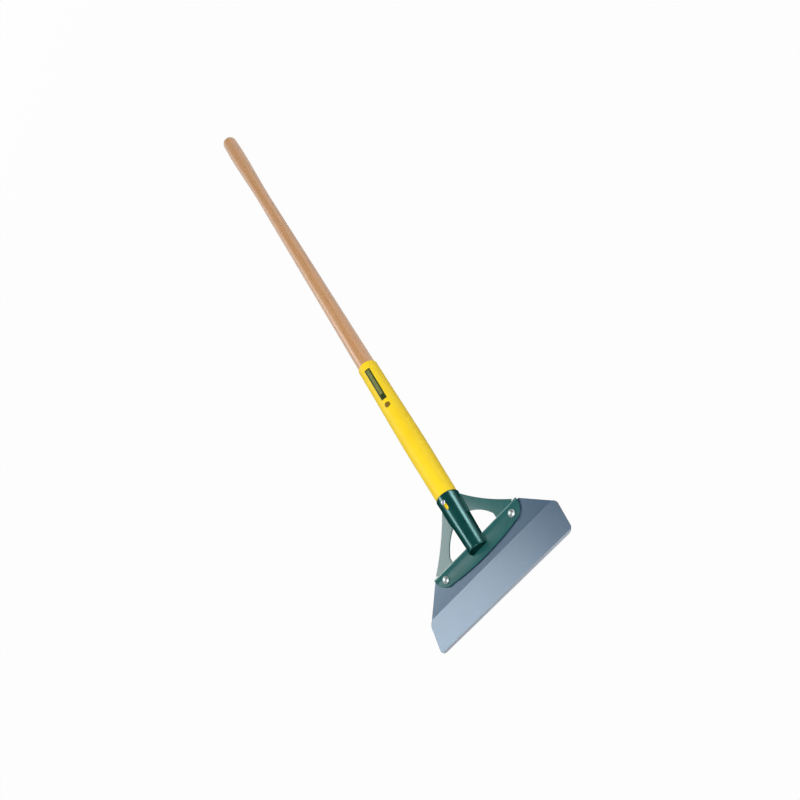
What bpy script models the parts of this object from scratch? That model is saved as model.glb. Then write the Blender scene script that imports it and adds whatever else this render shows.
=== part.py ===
"""Long-handled push scraper: a wide steel blade on a welded bracket, with a wooden handle in a plastic sleeve.

Units are metres, +Z is up. The scraper lies on its back: the handle runs towards +Y, the cutting edge
faces -Y, and the side that carries the bracket and the rivet heads faces up.
The pieces hang from an empty on the handle's axis, level with the line where the bracket is folded.
Inside that frame x runs across the blade, y towards the handle's end and z up.
"""

import math

import bmesh
import bpy
from mathutils import Vector

# Fits between pieces
CLEARANCE = 0.0003
SEGMENTS = 48
SMALL_SEGMENTS = 24

# Wooden handle, measured along its axis from the bracket's fold
HANDLE_REACH = 1.1920
HANDLE_END_DIAMETER = 0.0328
HANDLE_END_SWELL = 0.062
HANDLE_DOME_DIAMETER = 0.0314
HANDLE_NECK_DIAMETER = 0.0266
HANDLE_NECK_AT = 0.948

# Plastic sleeve over the lower handle
SLEEVE_REACH = 0.4025
SLEEVE_WALL = 0.0018
SLEEVE_START_DIAMETER = 0.0372
SLEEVE_BELLY_DIAMETER = 0.0402
SLEEVE_BELLY_AT = 0.200
SLEEVE_LIP_RADIUS = 0.0014
SLEEVE_NECKING = 0.012

# Steel socket tube, tapering from its mouth to its open foot
SOCKET_MOUTH_AT = 0.0880
SOCKET_FOOT_DROP = 0.0178
SOCKET_MOUTH_DIAMETER = 0.0404
SOCKET_FOOT_DIAMETER = 0.0332
SOCKET_WALL = 0.0016
SOCKET_RIM_RADIUS = 0.0004
HANDLE_STOP_ABOVE_FOOT = 0.0245

# Slot and screw near the socket's mouth
SLOT_WIDTH = 0.0064
SLOT_LENGTH = 0.0196
SLOT_BELOW_MOUTH = 0.0080
SCREW_HEAD_DIAMETER = 0.0086
SCREW_HEAD_HEIGHT = 0.0026
SCREW_SHANK_DIAMETER = 0.0044
SCREW_LENGTH = 0.0180
SCREW_FROM_SLOT_TOP = 0.0053

# Bracket: one folded sheet with two arms and a plate
BRACKET_THICKNESS = 0.0025
BRACKET_BEHIND_AXIS = 0.0010
BRACKET_FOLD_DEGREES = 3.0
BRACKET_FOLD_RADIUS = 0.015
PLATE_WIDTH = 0.2004
PLATE_END_HEIGHT = 0.0268
PLATE_MIDDLE_HEIGHT = 0.0325
PLATE_CORNER_RADIUS = 0.024
PLATE_TOP_CORNER_RADIUS = 0.0012
ARM_TOP_AT = 0.0805
ARM_EDGE_HOLLOW = 0.0038
ARM_ROOT_INSET = 0.0066
RELIEF_DEPTH = 0.0087
RELIEF_ABOVE_FOLD = 0.0014
RELIEF_RADIUS = 0.00125
WINDOW_TOP_AT = 0.0430
WINDOW_HALF_WIDTH = 0.0540
WINDOW_SIDE_HEIGHT = 0.0092
WINDOW_EDGE_BULGE = 0.0034
WINDOW_CORNER_RADIUS = 0.0045
WINDOW_SILL_DROP = 0.0010

# Blade: one bent sheet behind the bracket's plate
BLADE_WIDTH = 0.3000
BLADE_THICKNESS = 0.0020
BLADE_TOP_DROP = 0.0030
BLADE_TOP_WIDTH = 0.2052
BLADE_BEND_DROP = 0.0452
BLADE_BEND_RADIUS = 0.012
BLADE_STRIP_HEIGHT = 0.0627
BLADE_STRIP_DEGREES = 11.7
BLADE_SHOULDER_RADIUS = 0.012
BLADE_CORNER_RADIUS = 0.010
BLADE_GRIND_WIDTH = 0.0030
BLADE_EDGE_THICKNESS = 0.0006

# Rivets through the plate and the blade
RIVET_SPACING = 0.1604
RIVET_DROP = 0.0146
RIVET_HEAD_DIAMETER = 0.0130
RIVET_HEAD_HEIGHT = 0.0040
RIVET_SHANK_DIAMETER = 0.0064
RIVET_TAIL_DIAMETER = 0.0104
RIVET_TAIL_HEIGHT = 0.0026

# Weld beads along the tube
WELD_SIZE = 0.0040
ARM_WELD_START = 0.0725
ARM_WELD_END = 0.0430
FOOT_WELD_START = -0.0020
FOOT_WELD_END = -0.0150

FOLD = math.radians(BRACKET_FOLD_DEGREES)
STRIP = -math.radians(BLADE_STRIP_DEGREES)
BLADE_DEPTH = (BRACKET_THICKNESS + BLADE_THICKNESS) / 2 + CLEARANCE


def smooth(t):
    """Goes from 0 to 1 with level ends."""
    t = min(max(t, 0.0), 1.0)
    return t * t * (3 - 2 * t)


def between(at, low_at, low, high_at, high):
    """Straight line from low at low_at to high at high_at."""
    return low + (high - low) * (at - low_at) / (high_at - low_at)


def socket_radius(at):
    """Outer radius of the socket tube at a distance above the fold."""
    foot = -SOCKET_FOOT_DROP
    return between(at, foot, SOCKET_FOOT_DIAMETER / 2, SOCKET_MOUTH_AT, SOCKET_MOUTH_DIAMETER / 2)


def sleeve_radius(at):
    """Outer radius of the sleeve: it follows the socket's bore, swells above it and thins to its start."""
    inside = socket_radius(min(at, SOCKET_MOUTH_AT)) - SOCKET_WALL - CLEARANCE
    if at <= SOCKET_MOUTH_AT:
        return inside
    belly = SLEEVE_BELLY_DIAMETER / 2
    waist = (inside + belly) / 2
    neck_top = SOCKET_MOUTH_AT + SLEEVE_NECKING
    if at <= neck_top:
        return inside + (waist - inside) * smooth((at - SOCKET_MOUTH_AT) / SLEEVE_NECKING)
    if at <= SLEEVE_BELLY_AT:
        return waist + (belly - waist) * smooth((at - neck_top) / (SLEEVE_BELLY_AT - neck_top))
    share = (at - SLEEVE_BELLY_AT) / (SLEEVE_REACH - SLEEVE_BELLY_AT)
    return belly + (SLEEVE_START_DIAMETER / 2 - belly) * smooth(share)


def wood_radius(at):
    """Radius of the wooden handle along its whole length, inside the sleeve as well."""
    if at <= SLEEVE_REACH:
        return sleeve_radius(at) - SLEEVE_WALL - CLEARANCE
    neck = HANDLE_NECK_DIAMETER / 2
    root = SLEEVE_START_DIAMETER / 2 - SLEEVE_WALL - CLEARANCE
    if at <= HANDLE_NECK_AT:
        return between(at, SLEEVE_REACH, root, HANDLE_NECK_AT, neck)
    swell_at = HANDLE_REACH - HANDLE_END_SWELL
    swell = HANDLE_END_DIAMETER / 2
    if at <= swell_at:
        return neck + (swell - neck) * smooth((at - HANDLE_NECK_AT) / (swell_at - HANDLE_NECK_AT))
    dome = HANDLE_DOME_DIAMETER / 2
    return swell + (dome - swell) * smooth((at - swell_at) / (HANDLE_REACH - dome - swell_at))


def handle_foot():
    """Where the handle stops inside the socket."""
    return HANDLE_STOP_ABOVE_FOOT - SOCKET_FOOT_DROP


def stations(low, high, count):
    """Evenly spaced places from high down to low."""
    return [high + (low - high) * i / count for i in range(count + 1)]


def sheet_point(start_angle, bends, s, height):
    """Carries a place on a flat sheet to its bent shape.

    s runs down the sheet from the fold line, height is across the sheet's thickness, and each bend is
    (where it is centred, the angle after it, its radius). The result is (y, z) of the point.
    """
    y = 0.0
    z = 0.0
    done = 0.0
    angle = start_angle
    for centre, after, radius in bends:
        arc = radius * abs(after - angle)
        first = centre - arc / 2
        if s <= first:
            break
        y -= (first - done) * math.cos(angle)
        z -= (first - done) * math.sin(angle)
        part = min(s - first, arc) / arc
        middle = angle + (after - angle) * part / 2
        y -= arc * part * math.cos(middle)
        z -= arc * part * math.sin(middle)
        angle += (after - angle) * part
        done = first + arc * part
    y -= (s - done) * math.cos(angle)
    z -= (s - done) * math.sin(angle)
    return y - height * math.sin(angle), z + height * math.cos(angle)


def bend_rows(start_angle, bends, pieces):
    """Places where a flat sheet needs a row of points to be bent there."""
    rows = []
    angle = start_angle
    for centre, after, radius in bends:
        arc = radius * abs(after - angle)
        rows += [centre - arc / 2 + arc * i / pieces for i in range(pieces + 1)]
        angle = after
    return rows


BRACKET_BENDS = [(0.0, FOLD, BRACKET_FOLD_RADIUS)]
BLADE_BENDS = [(BLADE_BEND_DROP, STRIP, BLADE_BEND_RADIUS)]
BLADE_BOTTOM = BLADE_BEND_DROP + BLADE_STRIP_HEIGHT


def blade_place(s, height):
    """(y, z) of a place on the blade, which lies behind the folded plate."""
    y, z = sheet_point(FOLD, BLADE_BENDS, s, height)
    return y + BLADE_DEPTH * math.sin(FOLD), z - BLADE_DEPTH * math.cos(FOLD) - BRACKET_BEHIND_AXIS


def plate_place(s, height):
    """(y, z) of a place on the bracket."""
    y, z = sheet_point(0.0, BRACKET_BENDS, s, height)
    return y, z - BRACKET_BEHIND_AXIS


def clear_scene():
    for thing in list(bpy.data.objects):
        bpy.data.objects.remove(thing, do_unlink=True)


def new_collection(name):
    group = bpy.data.collections.new(name)
    bpy.context.scene.collection.children.link(group)
    return group


def material(name, colour, roughness, metallic):
    made = bpy.data.materials.new(name)
    made.use_nodes = True
    shader = made.node_tree.nodes["Principled BSDF"]
    shader.inputs["Base Color"].default_value = (*colour, 1.0)
    shader.inputs["Roughness"].default_value = roughness
    shader.inputs["Metallic"].default_value = metallic
    made.diffuse_color = (*colour, 1.0)
    return made


def add_object(name, mesh, group, paint=None):
    thing = bpy.data.objects.new(name, mesh)
    group.objects.link(thing)
    thing.parent = tool
    if paint:
        mesh.materials.append(paint)
    return thing


def as_cutter(thing):
    thing.hide_render = True
    thing.display_type = "WIRE"
    return thing


def move_to_cutters(thing):
    """Takes a new primitive into the cutters' collection and the tool's frame."""
    for group in list(thing.users_collection):
        group.objects.unlink(thing)
    cutters.objects.link(thing)
    thing.parent = tool
    as_cutter(thing)


def cut(thing, cutter):
    boolean = thing.modifiers.new("cut", "BOOLEAN")
    boolean.operation = "DIFFERENCE"
    boolean.solver = "EXACT"
    boolean.object = cutter


def turned(name, profile, group, paint=None, closed=False, segments=SEGMENTS):
    """Turns an (r, z) profile about the object's own Z axis."""
    mesh = bpy.data.meshes.new(name)
    points = [(r, 0.0, z) for r, z in profile]
    edges = [(i, i + 1) for i in range(len(points) - 1)]
    if closed:
        edges.append((len(points) - 1, 0))
    mesh.from_pydata(points, edges, [])
    thing = add_object(name, mesh, group, paint)
    screw = thing.modifiers.new("turn", "SCREW")
    screw.axis = "Z"
    screw.angle = math.tau
    screw.steps = segments
    screw.render_steps = segments
    screw.use_merge_vertices = True
    screw.merge_threshold = 0.00001
    screw.use_smooth_shade = True
    return thing


def along_handle(thing):
    """Turns an object so that its own Z axis runs along the handle, towards the handle's end."""
    thing.rotation_euler = (-math.pi / 2, 0.0, 0.0)


def flat_sheet(name, outline, thickness, group, paint=None):
    """Makes a flat plate from an outline in x and y, centred on z = 0."""
    curve = bpy.data.curves.new(name, "CURVE")
    curve.dimensions = "2D"
    curve.fill_mode = "BOTH"
    curve.extrude = thickness / 2
    spline = curve.splines.new("POLY")
    spline.points.add(len(outline) - 1)
    for point, (x, y) in zip(spline.points, outline):
        point.co = (x, y, 0.0, 1.0)
    spline.use_cyclic_u = True
    flat = bpy.data.objects.new(name + "_outline", curve)
    group.objects.link(flat)
    graph = bpy.context.evaluated_depsgraph_get()
    mesh = bpy.data.meshes.new_from_object(flat.evaluated_get(graph))
    bpy.data.objects.remove(flat, do_unlink=True)
    mesh.name = name
    shape = bmesh.new()
    shape.from_mesh(mesh)
    bmesh.ops.remove_doubles(shape, verts=shape.verts, dist=0.000001)
    shape.to_mesh(mesh)
    shape.free()
    return add_object(name, mesh, group, paint)


def bend_sheet(thing, rows, place, top_height=None):
    """Splits a flat sheet at the given rows and carries every point to its bent place."""
    shape = bmesh.new()
    shape.from_mesh(thing.data)
    for row in rows:
        everything = shape.verts[:] + shape.edges[:] + shape.faces[:]
        bmesh.ops.bisect_plane(shape, geom=everything, dist=0.0000005, plane_co=(0, -row, 0), plane_no=(0, 1, 0))
    for vertex in shape.verts:
        s = -vertex.co.y
        height = vertex.co.z
        if top_height and height > 0:
            height = top_height(s)
        y, z = place(s, height)
        vertex.co.y = y
        vertex.co.z = z
    bmesh.ops.recalc_face_normals(shape, faces=shape.faces)
    shape.to_mesh(thing.data)
    shape.free()


def arc_points(centre, radius, start, end, count):
    """Points along an arc, angles in degrees."""
    points = []
    for i in range(count + 1):
        angle = math.radians(start + (end - start) * i / count)
        points.append((centre[0] + radius * math.cos(angle), centre[1] + radius * math.sin(angle)))
    return points


def rounded(corner, before, after, radius, count):
    """Replaces the corner between two straight edges by an arc."""
    corner = Vector(corner)
    back = (Vector(before) - corner).normalized()
    ahead = (Vector(after) - corner).normalized()
    half = back.angle(ahead) / 2
    reach = radius / math.tan(half)
    middle = corner + (back + ahead).normalized() * radius / math.sin(half)
    first = corner + back * reach - middle
    last = corner + ahead * reach - middle
    points = []
    for i in range(count + 1):
        spoke = first.lerp(last, i / count).normalized() * radius
        points.append(tuple(middle + spoke))
    return points


def bowed(start, end, rise, count):
    """Points on a shallow curve from start to end that stands off its chord by rise, to its left."""
    start = Vector(start)
    end = Vector(end)
    chord = end - start
    left = Vector((-chord.y, chord.x)).normalized()
    points = []
    for i in range(count + 1):
        t = i / count
        points.append(tuple(start + chord * t + left * rise * 4 * t * (1 - t)))
    return points


def mirrored(points):
    return [(-x, y) for x, y in reversed(points)]


def make_handle():
    dome = HANDLE_DOME_DIAMETER / 2
    centre = HANDLE_REACH - dome
    profile = []
    for i in range(9):
        angle = math.pi / 2 * (1 - i / 8)
        profile.append((dome * math.cos(angle), centre + dome * math.sin(angle)))
    profile[0] = (0.0, HANDLE_REACH)
    swell_at = HANDLE_REACH - HANDLE_END_SWELL
    places = stations(swell_at, centre, 3)[1:]
    places += stations(HANDLE_NECK_AT, swell_at, 8)[1:]
    places += stations(SLEEVE_REACH, HANDLE_NECK_AT, 3)[1:]
    places += stations(SLEEVE_BELLY_AT, SLEEVE_REACH, 5)[1:]
    places += stations(SOCKET_MOUTH_AT + SLEEVE_NECKING, SLEEVE_BELLY_AT, 4)[1:]
    places += stations(SOCKET_MOUTH_AT, SOCKET_MOUTH_AT + SLEEVE_NECKING, 4)[1:]
    places += [handle_foot()]
    profile += [(wood_radius(at), at) for at in places]
    profile.append((0.0, handle_foot()))
    handle = turned("wooden_handle", profile, parts, material("wood", (0.56, 0.33, 0.15), 0.6, 0.0))
    along_handle(handle)
    cut(handle, screw_hole)


def make_sleeve():
    lip = SLEEVE_LIP_RADIUS
    start = sleeve_radius(SLEEVE_REACH)
    profile = [(start - SLEEVE_WALL, SLEEVE_REACH), (start - lip, SLEEVE_REACH)]
    for i in range(1, 5):
        angle = math.pi / 2 * (1 - i / 4)
        profile.append((start - lip + lip * math.cos(angle), SLEEVE_REACH - lip + lip * math.sin(angle)))
    places = stations(SLEEVE_BELLY_AT, SLEEVE_REACH - lip, 5)[1:]
    places += stations(SOCKET_MOUTH_AT + SLEEVE_NECKING, SLEEVE_BELLY_AT, 4)[1:]
    places += stations(SOCKET_MOUTH_AT, SOCKET_MOUTH_AT + SLEEVE_NECKING, 4)[1:]
    places += [handle_foot()]
    profile += [(sleeve_radius(at), at) for at in places]
    profile += [(sleeve_radius(at) - SLEEVE_WALL, at) for at in reversed(places)]
    yellow = material("sleeve_plastic", (0.93, 0.68, 0.02), 0.35, 0.0)
    sleeve = turned("handle_sleeve", profile, parts, yellow, closed=True)
    along_handle(sleeve)
    cut(sleeve, screw_hole)


def make_socket():
    rim = SOCKET_RIM_RADIUS
    foot = -SOCKET_FOOT_DROP
    mouth = SOCKET_MOUTH_AT
    profile = [
        (socket_radius(mouth) - SOCKET_WALL + rim, mouth),
        (socket_radius(mouth) - rim, mouth),
        (socket_radius(mouth - rim), mouth - rim),
        (socket_radius(foot + rim), foot + rim),
        (socket_radius(foot) - rim, foot),
        (socket_radius(foot) - SOCKET_WALL + rim, foot),
        (socket_radius(foot + rim) - SOCKET_WALL, foot + rim),
        (socket_radius(mouth - rim) - SOCKET_WALL, mouth - rim),
    ]
    green = material("socket_paint", (0.01, 0.10, 0.08), 0.22, 0.2)
    socket = turned("socket_tube", profile, parts, green, closed=True)
    along_handle(socket)
    half = SLOT_WIDTH / 2
    top = mouth - SLOT_BELOW_MOUTH - half
    bottom = mouth - SLOT_BELOW_MOUTH - SLOT_LENGTH + half
    outline = arc_points((0, top), half, 0, 180, 12) + arc_points((0, bottom), half, 180, 360, 12)
    depth = SOCKET_MOUTH_DIAMETER
    slot = as_cutter(flat_sheet("slot_cutter", outline, depth, cutters))
    slot.location = (0, 0, depth / 2 + SOCKET_FOOT_DIAMETER / 4)
    cut(socket, slot)


def screw_at():
    return SOCKET_MOUTH_AT - SLOT_BELOW_MOUTH - SCREW_FROM_SLOT_TOP


def screw_seat():
    """Height above the axis where the screw's head starts."""
    return socket_radius(screw_at() + SCREW_HEAD_DIAMETER / 2) + CLEARANCE


def make_screw_hole():
    """Cuts the hole of the screw's shank in the sleeve and in the wood."""
    length = SCREW_LENGTH + SOCKET_MOUTH_DIAMETER / 2
    bpy.ops.mesh.primitive_cylinder_add(vertices=32, radius=SCREW_SHANK_DIAMETER / 2 + CLEARANCE, depth=length)
    hole = bpy.context.object
    hole.name = "screw_hole_cutter"
    move_to_cutters(hole)
    bottom = screw_seat() - SCREW_LENGTH - CLEARANCE
    hole.location = (0, screw_at(), bottom + length / 2)
    return hole


def make_screw():
    radius = SCREW_HEAD_DIAMETER / 2
    shank = SCREW_SHANK_DIAMETER / 2
    rim = SCREW_HEAD_HEIGHT / 4
    profile = []
    for i in range(7):
        angle = math.pi / 2 * (1 - i / 6)
        profile.append((radius * math.cos(angle), rim + (SCREW_HEAD_HEIGHT - rim) * math.sin(angle)))
    profile[0] = (0.0, SCREW_HEAD_HEIGHT)
    profile += [(radius, 0.0), (shank, 0.0), (shank, shank - SCREW_LENGTH), (0.0, -SCREW_LENGTH)]
    steel = material("zinc_screw", (0.72, 0.74, 0.78), 0.3, 1.0)
    screw = turned("socket_screw", profile, parts, steel, segments=SMALL_SEGMENTS)
    screw.location = (0, screw_at(), screw_seat())


def notch_bottom(back_depth):
    """How far down a folded sheet its notch reaches to clear the tube's foot at a depth behind the plate's middle."""
    return (SOCKET_FOOT_DROP + CLEARANCE + back_depth * math.sin(FOLD)) / math.cos(FOLD)


def plate_half():
    """Right half of the bracket's outline, from the tube's foot out, round the plate and up the arm."""
    side = PLATE_WIDTH / 2
    notch = notch_bottom(BRACKET_THICKNESS / 2)
    sill = WINDOW_SILL_DROP
    slot_foot = socket_radius(-SOCKET_FOOT_DROP) + CLEARANCE
    slot_sill = socket_radius(-sill) + CLEARANCE
    window = WINDOW_HALF_WIDTH
    window_foot = (socket_radius(WINDOW_TOP_AT) + CLEARANCE, WINDOW_TOP_AT)
    shoulder = (window, WINDOW_SIDE_HEIGHT)
    points = [(slot_foot, -notch), (slot_sill, -sill), (window, -sill)]
    corner = rounded(shoulder, (window, -sill), window_foot, WINDOW_CORNER_RADIUS, 5)
    points += corner
    points += bowed(corner[-1], window_foot, -WINDOW_EDGE_BULGE, 10)[1:]
    arm_top = (socket_radius(ARM_TOP_AT) + CLEARANCE, ARM_TOP_AT)
    relief = (side - RELIEF_DEPTH, RELIEF_ABOVE_FOLD)
    arm_root = (side - ARM_ROOT_INSET, RELIEF_ABOVE_FOLD + RELIEF_RADIUS)
    points += bowed(arm_top, arm_root, -ARM_EDGE_HOLLOW, 12)
    points += arc_points(relief, RELIEF_RADIUS, 90, 270, 8)
    top_corner = (side, RELIEF_ABOVE_FOLD - RELIEF_RADIUS)
    low_corner = (side, -PLATE_END_HEIGHT)
    before = (relief[0], top_corner[1])
    points += rounded(top_corner, before, low_corner, PLATE_TOP_CORNER_RADIUS, 3)
    lower = (side - PLATE_CORNER_RADIUS, -PLATE_END_HEIGHT)
    points += rounded(low_corner, top_corner, lower, PLATE_CORNER_RADIUS, 10)
    drop = PLATE_MIDDLE_HEIGHT - PLATE_END_HEIGHT
    for i in range(1, 9):
        t = 1 - i / 8
        points.append((lower[0] * t, -PLATE_END_HEIGHT - drop * (1 - t * t)))
    return points


def make_bracket():
    half = plate_half()
    outline = half + mirrored(half[:-1])
    paint = material("bracket_paint", (0.10, 0.30, 0.27), 0.3, 0.2)
    bracket = flat_sheet("bracket", outline, BRACKET_THICKNESS, parts, paint)
    bend_sheet(bracket, bend_rows(0.0, BRACKET_BENDS, 4), plate_place)
    for hole in rivet_holes:
        cut(bracket, hole)


def make_blade():
    top = -BLADE_TOP_DROP
    bottom = -BLADE_BOTTOM
    side = BLADE_WIDTH / 2
    inner = BLADE_TOP_WIDTH / 2
    shoulder = (side, -BLADE_BEND_DROP - (side - inner - BLADE_BEND_DROP + BLADE_TOP_DROP))
    notch = notch_bottom(BLADE_DEPTH + BLADE_THICKNESS / 2)
    half = [(socket_radius(-SOCKET_FOOT_DROP) + CLEARANCE, -notch)]
    half += [(socket_radius(top) + CLEARANCE, top), (inner, top)]
    half += rounded(shoulder, (inner, top), (side, bottom), BLADE_SHOULDER_RADIUS, 8)
    half += rounded((side, bottom), shoulder, (0, bottom), BLADE_CORNER_RADIUS, 10)
    outline = half + mirrored(half)
    steel = material("blade_steel", (0.36, 0.42, 0.50), 0.35, 1.0)
    blade = flat_sheet("blade", outline, BLADE_THICKNESS, parts, steel)
    grind = BLADE_BOTTOM - BLADE_GRIND_WIDTH

    def ground(s):
        share = max(0.0, (s - grind) / BLADE_GRIND_WIDTH)
        return BLADE_THICKNESS / 2 - (BLADE_THICKNESS - BLADE_EDGE_THICKNESS) * share

    bend_sheet(blade, bend_rows(FOLD, BLADE_BENDS, 6) + [grind], blade_place, ground)
    for hole in rivet_holes:
        cut(blade, hole)


def rivet_place():
    """(y, z) of the rivets' axis on the plate's front face."""
    return plate_place(RIVET_DROP, BRACKET_THICKNESS / 2)


def rivet_grip():
    """Length between a rivet's head and its tail."""
    return BRACKET_THICKNESS + BLADE_THICKNESS + 3 * CLEARANCE


def make_rivet_hole(name, x):
    length = 4 * rivet_grip()
    bpy.ops.mesh.primitive_cylinder_add(vertices=32, radius=RIVET_SHANK_DIAMETER / 2 + CLEARANCE, depth=length)
    hole = bpy.context.object
    hole.name = name
    move_to_cutters(hole)
    y, z = rivet_place()
    hole.location = (x, y, z)
    hole.rotation_euler = (FOLD, 0, 0)
    return hole


def make_rivet(name, x, steel):
    head = RIVET_HEAD_DIAMETER / 2
    shank = RIVET_SHANK_DIAMETER / 2
    tail = RIVET_TAIL_DIAMETER / 2
    rim = RIVET_HEAD_HEIGHT / 6
    seat = CLEARANCE
    under = seat - rivet_grip()
    profile = []
    for i in range(7):
        angle = math.pi / 2 * (1 - i / 6)
        profile.append((head * math.cos(angle), seat + rim + (RIVET_HEAD_HEIGHT - rim) * math.sin(angle)))
    profile[0] = (0.0, seat + RIVET_HEAD_HEIGHT)
    profile += [(head, seat), (shank, seat), (shank, under), (tail, under), (tail, under - rim)]
    for i in range(1, 4):
        angle = math.pi / 2 * i / 3
        profile.append((tail * math.cos(angle), under - rim - (RIVET_TAIL_HEIGHT - rim) * math.sin(angle)))
    profile[-1] = (0.0, under - RIVET_TAIL_HEIGHT)
    rivet = turned(name, profile, parts, steel, segments=SMALL_SEGMENTS)
    y, z = rivet_place()
    rivet.location = (x, y, z)
    rivet.rotation_euler = (FOLD, 0, 0)


def make_tube_cutter():
    """The tube's outside plus the clearance, which the weld beads are fitted to."""
    beyond = 0.02
    profile = [(0.0, SOCKET_MOUTH_AT + beyond)]
    profile += [(socket_radius(at) + CLEARANCE, at) for at in (SOCKET_MOUTH_AT + beyond, -SOCKET_FOOT_DROP - beyond)]
    profile.append((0.0, -SOCKET_FOOT_DROP - beyond))
    cutter = turned("tube_cutter", profile, cutters)
    along_handle(cutter)
    return as_cutter(cutter)


def make_face_cutter(name, low, high):
    """A slab under the bracket's front face, over a stretch that lies on one side of the fold."""
    bpy.ops.mesh.primitive_cube_add(size=1.0)
    slab = bpy.context.object
    slab.name = name
    move_to_cutters(slab)
    tilt = FOLD if high <= 0 else 0.0
    y, z = plate_place(-(low + high) / 2, BRACKET_THICKNESS / 2 + CLEARANCE)
    depth = 4 * WELD_SIZE
    slab.scale = (PLATE_WIDTH, 2 * (high - low) + depth, depth)
    slab.rotation_euler = (tilt, 0, 0)
    slab.location = (0, y + depth / 2 * math.sin(tilt), z - depth / 2 * math.cos(tilt))
    return slab


def make_weld(name, side, high, low, face, paint):
    """A rounded bead in the corner between the tube and the bracket's front face."""
    curve = bpy.data.curves.new(name, "CURVE")
    curve.dimensions = "3D"
    curve.bevel_depth = WELD_SIZE
    curve.bevel_resolution = 8
    curve.use_fill_caps = True
    spline = curve.splines.new("POLY")
    count = 10
    spline.points.add(count)
    for i, point in enumerate(spline.points):
        at = high + (low - high) * i / count
        edge = min(i, count - i) / 2
        _, z = plate_place(-at, BRACKET_THICKNESS / 2)
        point.co = (side * socket_radius(at), at, z, 1.0)
        point.radius = 0.62 + 0.38 * smooth(edge)
    rod = bpy.data.objects.new(name + "_rod", curve)
    parts.objects.link(rod)
    graph = bpy.context.evaluated_depsgraph_get()
    mesh = bpy.data.meshes.new_from_object(rod.evaluated_get(graph))
    bpy.data.objects.remove(rod, do_unlink=True)
    shape = bmesh.new()
    shape.from_mesh(mesh)
    bmesh.ops.remove_doubles(shape, verts=shape.verts, dist=0.000001)
    bmesh.ops.recalc_face_normals(shape, faces=shape.faces)
    shape.to_mesh(mesh)
    shape.free()
    mesh.shade_smooth()
    mesh.set_sharp_from_angle(angle=math.radians(40))
    bead = add_object(name, mesh, parts, paint)
    cut(bead, tube_cutter)
    cut(bead, face)


clear_scene()
parts = new_collection("push_scraper")
cutters = new_collection("cutters")

tool = bpy.data.objects.new("handle_axis", None)
parts.objects.link(tool)
edge_reach = -blade_place(BLADE_BOTTOM, -BLADE_THICKNESS / 2)[0]
axis_height = max(SLEEVE_BELLY_DIAMETER, SOCKET_MOUTH_DIAMETER, HANDLE_END_DIAMETER) / 2
tool.location = (0.0, (edge_reach - HANDLE_REACH) / 2, axis_height)

screw_hole = make_screw_hole()
rivet_holes = [
    make_rivet_hole("rivet_hole_left", -RIVET_SPACING / 2),
    make_rivet_hole("rivet_hole_right", RIVET_SPACING / 2),
]
tube_cutter = make_tube_cutter()
arm_face = make_face_cutter("arm_face_cutter", ARM_WELD_END, ARM_WELD_START)
foot_face = make_face_cutter("foot_face_cutter", FOOT_WELD_END, FOOT_WELD_START)

make_handle()
make_sleeve()
make_socket()
make_screw()
make_bracket()
make_blade()
rivet_steel = material("rivet_steel", (0.80, 0.82, 0.84), 0.25, 1.0)
make_rivet("rivet_left", -RIVET_SPACING / 2, rivet_steel)
make_rivet("rivet_right", RIVET_SPACING / 2, rivet_steel)
weld_paint = material("weld_paint", (0.01, 0.09, 0.07), 0.35, 0.2)
make_weld("weld_arm_left", -1, ARM_WELD_START, ARM_WELD_END, arm_face, weld_paint)
make_weld("weld_arm_right", 1, ARM_WELD_START, ARM_WELD_END, arm_face, weld_paint)
make_weld("weld_foot_left", -1, FOOT_WELD_START, FOOT_WELD_END, foot_face, weld_paint)
make_weld("weld_foot_right", 1, FOOT_WELD_START, FOOT_WELD_END, foot_face, weld_paint)
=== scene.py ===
"""A long-handled push scraper, lying on its back on a pale floor.

The pieces follow the tool as it is put together: handle, sleeve, tube, screw, bracket, welds, blade and
rivets, and then the floor, the lamps and the camera. Metres, +Y towards the handle's end, +Z up.
"""
import math

import bmesh
import bpy
from mathutils import Matrix, Vector


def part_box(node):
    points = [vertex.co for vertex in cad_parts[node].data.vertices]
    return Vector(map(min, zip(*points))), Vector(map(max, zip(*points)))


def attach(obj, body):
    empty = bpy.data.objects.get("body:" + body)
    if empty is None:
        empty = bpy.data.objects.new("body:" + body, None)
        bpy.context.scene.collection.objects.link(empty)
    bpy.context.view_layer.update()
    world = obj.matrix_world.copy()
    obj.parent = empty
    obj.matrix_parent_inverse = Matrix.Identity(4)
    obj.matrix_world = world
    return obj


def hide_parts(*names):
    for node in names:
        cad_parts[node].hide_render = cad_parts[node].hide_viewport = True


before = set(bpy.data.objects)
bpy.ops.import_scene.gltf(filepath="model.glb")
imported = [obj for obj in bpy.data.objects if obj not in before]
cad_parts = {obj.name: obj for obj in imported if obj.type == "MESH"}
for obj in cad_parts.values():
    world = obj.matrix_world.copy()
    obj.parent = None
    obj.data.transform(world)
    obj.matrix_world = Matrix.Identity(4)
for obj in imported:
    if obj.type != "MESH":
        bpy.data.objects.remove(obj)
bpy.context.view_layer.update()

# Wooden handle: one turned length of pale ash, sanded and lacquered. It tapers from the sleeve to a slim
# neck and swells to a rounded end, and its foot sits inside the steel tube. Here and below, each place up
# the handle is measured from the bracket's fold.
HANDLE_REACH = 1.1920
HANDLE_END_RADIUS = 0.0164
HANDLE_DOME_RADIUS = 0.0157
HANDLE_DOME_AT = HANDLE_REACH - HANDLE_DOME_RADIUS
HANDLE_END_SWELL = 0.062
HANDLE_SWELL_AT = HANDLE_REACH - HANDLE_END_SWELL
HANDLE_NECK_RADIUS = 0.0133
HANDLE_NECK_AT = 0.948
HANDLE_STOP_AT = 0.0067
SLEEVE_REACH = 0.4025
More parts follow.
